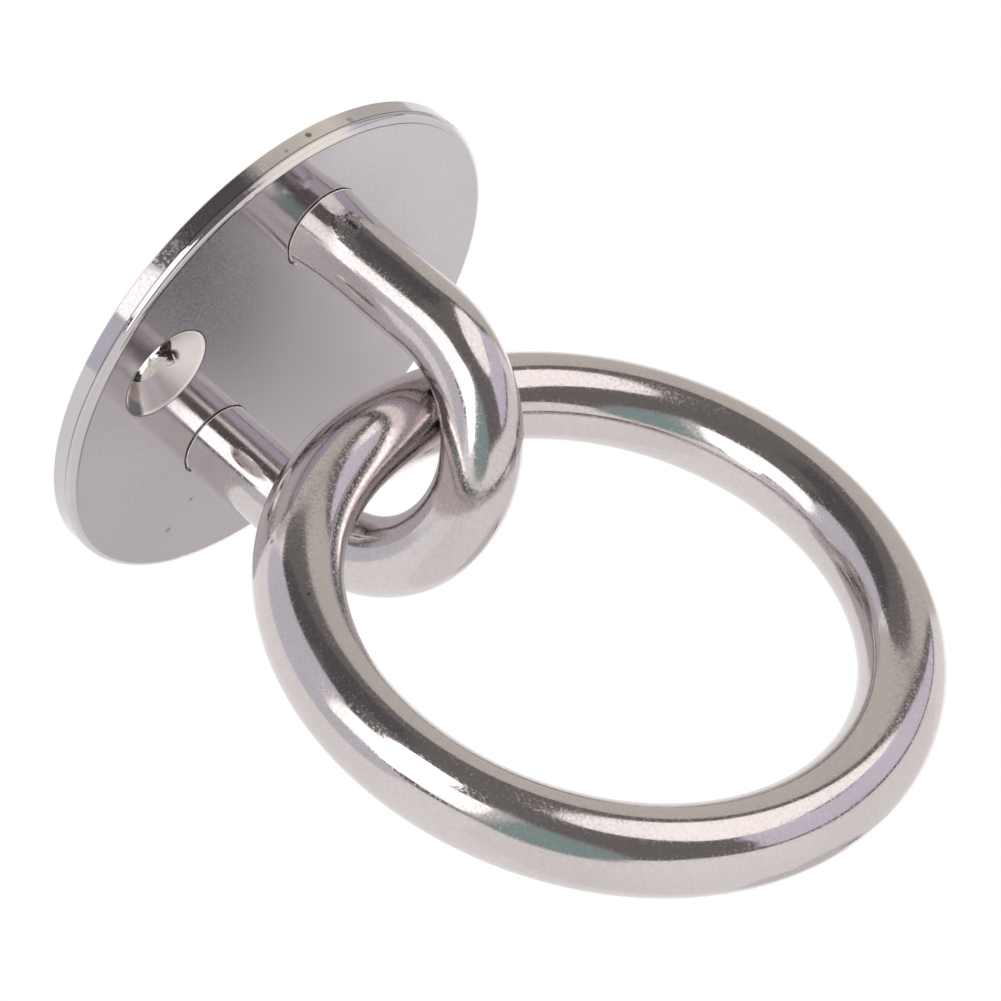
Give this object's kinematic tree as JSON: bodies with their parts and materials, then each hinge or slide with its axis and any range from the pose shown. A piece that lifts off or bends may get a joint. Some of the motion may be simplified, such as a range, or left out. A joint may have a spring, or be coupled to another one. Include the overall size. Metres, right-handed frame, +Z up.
{
  "type": "deck tie-down anchor",
  "caption": "Polished steel pad eye: round flange plate with a countersunk fixing hole and a bent-rod eye that carries a loose round ring for lashing lines and hooks.",
  "frame": {"origin": "centre of the plate's flat back, on the surface it is screwed to", "axes": "+Z square into the surface it is screwed to, so the ring hangs along -Z; +X towards the bail's flared foot; -Y towards the countersunk hole. Under a deckhead or beam +Z is up; screwed to a deck, the part is turned over and the ring lies down to one side."},
  "size_m": [0.056, 0.0659, 0.0843],
  "materials": {
    "polished_plate": "polished",
    "polished_rod": "mirror polished",
    "polished_ring": "mirror polished",
    "ground_weld": "ground"
  },
  "bodies": {
    "anchor": {"base_plate": "polished_plate", "bail": "polished_rod", "rear_weld_1": "ground_weld", "rear_weld_2": "ground_weld"},
    "ring": {"ring": "polished_ring"}
  },
  "joints": [
    {"name": "ring_flop", "type": "hinge", "parent": "anchor", "child": "ring", "pos_m": [0.0021, -0.0035, -0.0179], "axis": [0, -1, 0], "range_deg": [-98, 90]}
  ]
}
